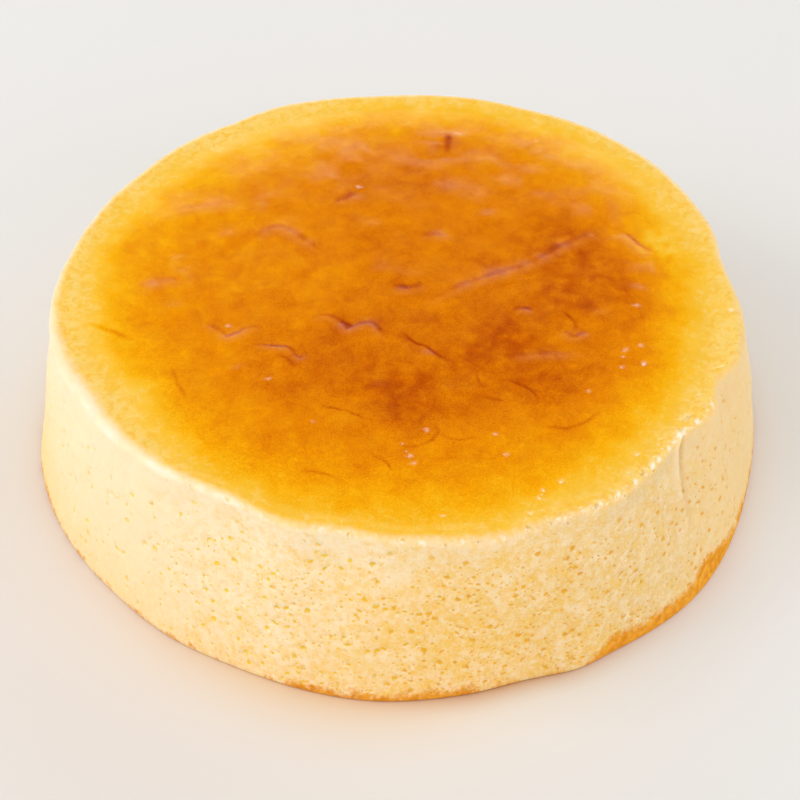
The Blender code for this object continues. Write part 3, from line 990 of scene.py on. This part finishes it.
# the pits get painted shade: a deeper yellow, as light scatters and dims inside them
PIT_YELLOW = display(246, 210, 34)
PIT_GOLD = display(241, 178, 10)
PIT_TOASTED_SHADED = display(228, 166, 52)
RIGHT_SIDE_SHADE = (0.90, 0.91, 0.86, 1)
small_holes, small_walls = foam(SMALL_CELL, -0.15, 0.36, 0.013)
faint_holes, faint_walls = foam(FAINT_CELL, -0.12, 0.40, 0.029)
small = board.times(small_holes, holed)
faint = board.times(faint_holes, board.times(foamy, 0.28))
holes = board.math("MAXIMUM", small, faint)
crumb = mottle(crumb, grain, GRAIN_STRENGTH, display(249, 196, 84), display(255, 238, 212))
walls = board.math("MAXIMUM", small_walls, faint_walls)
crumb = board.paint(crumb, walls, board.times(foamy, 0.30), display(255, 233, 202))
pit_shade_colour = board.mix(toasted_and_shaded_mask, board.mix(golden_mask, PIT_YELLOW, PIT_GOLD), PIT_TOASTED_SHADED)
# painted shade darkens the foamy crumb at the right
crumb = board.mix(board.times(toasted_and_shaded_mask, foamy), crumb, RIGHT_SIDE_SHADE, "MULTIPLY")
crumb = board.paint(crumb, holes, 0.86, pit_shade_colour)

# The foot: a thin baked crust with a ragged upper edge
PALE_CRUST = display(239, 166, 48)
BROWN_CRUST = display(218, 135, 14)
CRUST_FRAY = 9.0         # how far its edge frays, in millimetres, and how finely
CRUST_FRAY_LENGTH = 1.9
ragged_edge = centred(board.noise(where, CRUST_FRAY_LENGTH, 4.0, 0.75), CRUST_FRAY)
crust_edge = board.math("SUBTRACT", board.math("ADD", board.mask("crust_height"), ragged_edge), height)
crust_colour = board.mix(board.fit(clump, 0.36, 0.64), PALE_CRUST, BROWN_CRUST)
crumb = board.paint(crumb, board.fit(crust_edge, -0.9, 1.3), 0.94, crust_colour)

# The rim above it, then the fold at the corner with a painted highlight on its ridge and painted shade in
# its groove
for mask_name, strength, paint in (
        ("shoulder", 0.35, display(244, 216, 164)), ("white_crest", 0.7, display(255, 246, 226)),
        ("pleat_highlight", 0.6, display(248, 226, 188)), ("crease_shade", 0.62, display(204, 156, 86))):
    crumb = board.paint(crumb, board.mask(mask_name), strength, paint)

colour = board.mix(top_mask, crumb, top_colour)
# painted shade in the pores of the mesh
colour = board.paint(colour, board.mask("pore"), board.fit(holed, 0.1, 0.45, 0.5, 0.94), pit_shade_colour)
# the glints are painted highlights, whitish, with a full coat as well
glint = board.mask("glint")
colour = board.paint(colour, glint, 0.9, display(255, 250, 232))
board.feed(shader.inputs["Base Color"], colour)

# The crumb is dull and the skin has a soft sheen, wetter in places
CRUMB_ROUGHNESS = 0.72
rough_top = board.fit(board.noise(where, 3.0, 3.0), 0.3, 0.7, 0.36, 0.5)
roughness = board.add("Mix", Factor=top_mask, n2=CRUMB_ROUGHNESS, n3=rough_top)
board.feed(shader.inputs["Roughness"], roughness.outputs[0])
sheen = board.fit(board.noise(where, 7.0, 3.0), 0.35, 0.65, 0.45, 0.95)
# seen from low down the dry skin hardly shines
facing = board.add("LayerWeight", Blend=0.5).outputs["Facing"]
sheen = board.times(sheen, board.fit(facing, 0.5, 0.75, 1.0, 0.2))
sheen = board.times(top_mask, sheen)
board.feed(shader.inputs["Coat Weight"], board.math("MAXIMUM", sheen, glint))
for socket, value in (
        ("Coat Roughness", 0.14), ("Coat IOR", 1.5), ("Specular IOR Level", 0.0),
        ("Subsurface Weight", 0.35), ("Subsurface Radius", (1.0, 0.45, 0.18)),
        ("Subsurface Scale", 1.8 * MM)):
    shader.inputs[socket].default_value = value

# The skin is dimpled and the crumb grainy
DIMPLE = 1.4
dimple = board.times(board.noise(where, DIMPLE, 3.0, 0.6), top_mask)
rough_side = board.math("SUBTRACT", grain, board.times(holes, 0.5))
rough_side = board.times(rough_side, side_mask)
relief = board.math("ADD", board.times(dimple, 0.35), board.times(rough_side, 0.5))
raised = board.add("Bump", Strength=0.5, Distance=0.4 * MM, Height=relief)
board.feed(shader.inputs["Normal"], raised.outputs["Normal"])

mesh.materials.append(material)
cake = put_in_scene("cheesecake", mesh)
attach(cake, "root")
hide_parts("cake")

# --- The floor -----------------------------------------------------------------------
# A plain pale board, round and wide enough to fill every view. The cake stands loose
# on it, a hair above, so that the two don't share a face.
FLOOR_RADIUS = 1400.0
FLOOR_DROP = 0.05
FLOOR_TURNS = 240
# rings of points, by their distance out from the foot, closest where the glow changes
FLOOR_STEPS = (-8, 0, 0.8, 1.6, 2.6, 4, 5.5, 7.5, 10, 14, 19, 26, 36, 50, 75, 110, 170, 260, 420, 700)
turns = np.arange(FLOOR_TURNS) * 360 / FLOOR_TURNS
foot_line = FOOT_RADIUS - 0.6 + swell(turns, FOOT_SWELLS)
cosines, sines = np.cos(np.radians(turns)), np.sin(np.radians(turns))
floor_places = [(CENTRING[0], CENTRING[1], -FLOOR_DROP)]
floor_gaps = [FLOOR_STEPS[0]]
for gap in FLOOR_STEPS + (FLOOR_RADIUS,):
    reach = foot_line + gap
    floor_places += zip(reach * cosines + CENTRING[0], reach * sines + CENTRING[1],
                        [-FLOOR_DROP] * FLOOR_TURNS)
    floor_gaps += [gap] * FLOOR_TURNS
floor_faces = []
for ring in range(len(FLOOR_STEPS) + 1):
    for step in range(FLOOR_TURNS):
        here = 1 + ring * FLOOR_TURNS + step
        after = 1 + ring * FLOOR_TURNS + (step + 1) % FLOOR_TURNS
        inner = [0] if ring == 0 else [after - FLOOR_TURNS, here - FLOOR_TURNS]
        floor_faces.append([here, after] + inner)
floor_mesh = bpy.data.meshes.new("floor")
floor_mesh.from_pydata((np.array(floor_places) * MM).tolist(), [], floor_faces)
floor_turns = np.concatenate([[0.0], np.tile(turns, len(FLOOR_STEPS) + 1)])
floor_gaps = np.array(floor_gaps)


def near_foot(reach):
    """1 at the foot, falling to 0 at a distance from it."""
    return np.clip(1 - floor_gaps / reach, 0, 1)


# The board picks up the cake's light as painted glow and shade: a wide one at the left and front,
# a closer one in front, and a stain of steam and butter with a painted contact shadow right at
# the foot; at the right a painted patch of light lifts the cake's shadow
keep_on(floor_mesh, "wide_glow_and_shade", swell(floor_turns, ((228, 36, 1.0),)) * near_foot(300))
keep_on(floor_mesh, "close_glow_and_shade", swell(floor_turns, ((256, 20, 1.0),)) * near_foot(26) ** 2)
keep_on(floor_mesh, "stain_and_contact_shadow", (0.08 + swell(floor_turns, ((286, 12, 0.72),))) * near_foot(9) ** 2)
keep_on(floor_mesh, "painted_light_right", swell(floor_turns, ((330, 17, 1.0),)) * bump(floor_gaps - 24, 17))
floor = put_in_scene("floor", floor_mesh)
floor_material, board, shader, where = start_material("pale_board")
patch = board.noise(where, 260.0, 2.0)
board_colour = board.mix(board.fit(patch, 0.35, 0.65), (0.804, 0.800, 0.792, 1), (0.814, 0.810, 0.804, 1))
# painted glow, shade, contact shadow and light on the board
for mask_name, paint in (
        ("painted_light_right", (0.905, 0.905, 0.925, 1)), ("wide_glow_and_shade", (0.80, 0.742, 0.705, 1)),
        ("close_glow_and_shade", (0.77, 0.585, 0.39, 1)), ("stain_and_contact_shadow", (0.56, 0.26, 0.05, 1))):
    board_colour = board.mix(board.mask(mask_name), board_colour, paint)
board.feed(shader.inputs["Base Color"], board_colour)
board.feed(shader.inputs["Roughness"], board.fit(patch, 0.3, 0.7, 0.75, 0.85))
shader.inputs["Specular IOR Level"].default_value = 0.2
floor_mesh.materials.append(floor_material)

# --- The light -----------------------------------------------------------------------
# An even, bright room with one dark patch of ceiling behind, which takes the sheen off
# the front of the skin. A big soft source stands at the left, one at the right, and a
# low window behind.
ROOM = 0.953
DARK_TURN = math.radians(58)
DARK_SOFT = math.radians(24.8)
DARK_FULL = math.radians(23.4)
DARKEST = 0.97
world = bpy.data.worlds.new("room")
bpy.context.scene.world = world
world.use_nodes = True
board = Board(world.node_tree)
background = world.node_tree.nodes["Background"]
heading = board.add("TexCoord").outputs["Generated"]
towards = board.add("VectorMath", {"operation": "DOT_PRODUCT"}, n0=heading,
                    n1=(0.0, math.cos(DARK_TURN), math.sin(DARK_TURN))).outputs["Value"]
dark = board.fit(towards, math.cos(DARK_SOFT), math.cos(DARK_FULL), 0.0, DARKEST, True)
level = board.times(board.math("SUBTRACT", 1.0, dark), ROOM)
board.feed(background.inputs["Strength"], level)
background.inputs["Color"].default_value = (1.0, 0.985, 0.965, 1)


def soft_light(name, place, target, width, depth, power, colour):
    data = bpy.data.lights.new(name, "AREA")
    data.shape = "RECTANGLE"
    data.size = width
    data.size_y = depth
    data.energy = power
    data.color = colour
    light = put_in_scene(name, data)
    light.location = place
    light.rotation_euler = (Vector(target) - Vector(place)).to_track_quat("-Z", "Y").to_euler()


# Places and sizes in metres, power in watts
WARM_WHITE = (1.0, 0.985, 0.96)
COOL_WHITE = (0.92, 0.96, 1.0)
soft_light("key", (-1.15, -0.1, 0.8), (0, 0, 0.03), 0.9, 0.7, 5.5, WARM_WHITE)
soft_light("fill", (1.1, -0.7, 0.6), (0, 0, 0.03), 0.9, 0.7, 3, WARM_WHITE)
soft_light("window", (0.1, 1.3, 0.42), (0, 0, 0.05), 0.95, 0.36, 2.2, COOL_WHITE)

# --- The camera ----------------------------------------------------------------------
# Above the front of the cake, looking down at its top through a long lens, so that the
# rim and the foot keep nearly the same shape.
CAMERA_TILT = math.radians(42.72)
CAMERA_DISTANCE = 0.8
CAMERA_LENS = 132.5
FILM_WIDTH = 36
AIM_RIGHT = 0.00035      # how far the camera aims off the middle of the cake, in metres
AIM_FORWARD = 0.01407
AIM_HEIGHT = 0.025
low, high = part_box("cake")
aim = Vector(((low.x + high.x) / 2 + AIM_RIGHT, (low.y + high.y) / 2 - AIM_FORWARD, AIM_HEIGHT))
camera = put_in_scene("camera", bpy.data.cameras.new("camera"))
camera.data.lens = CAMERA_LENS
camera.data.sensor_width = FILM_WIDTH
camera.location = aim + CAMERA_DISTANCE * Vector((0, -math.cos(CAMERA_TILT), math.sin(CAMERA_TILT)))
camera.rotation_euler = (math.pi / 2 - CAMERA_TILT, 0, 0)
bpy.context.scene.camera = camera
bpy.context.scene.view_settings.view_transform = "Standard"
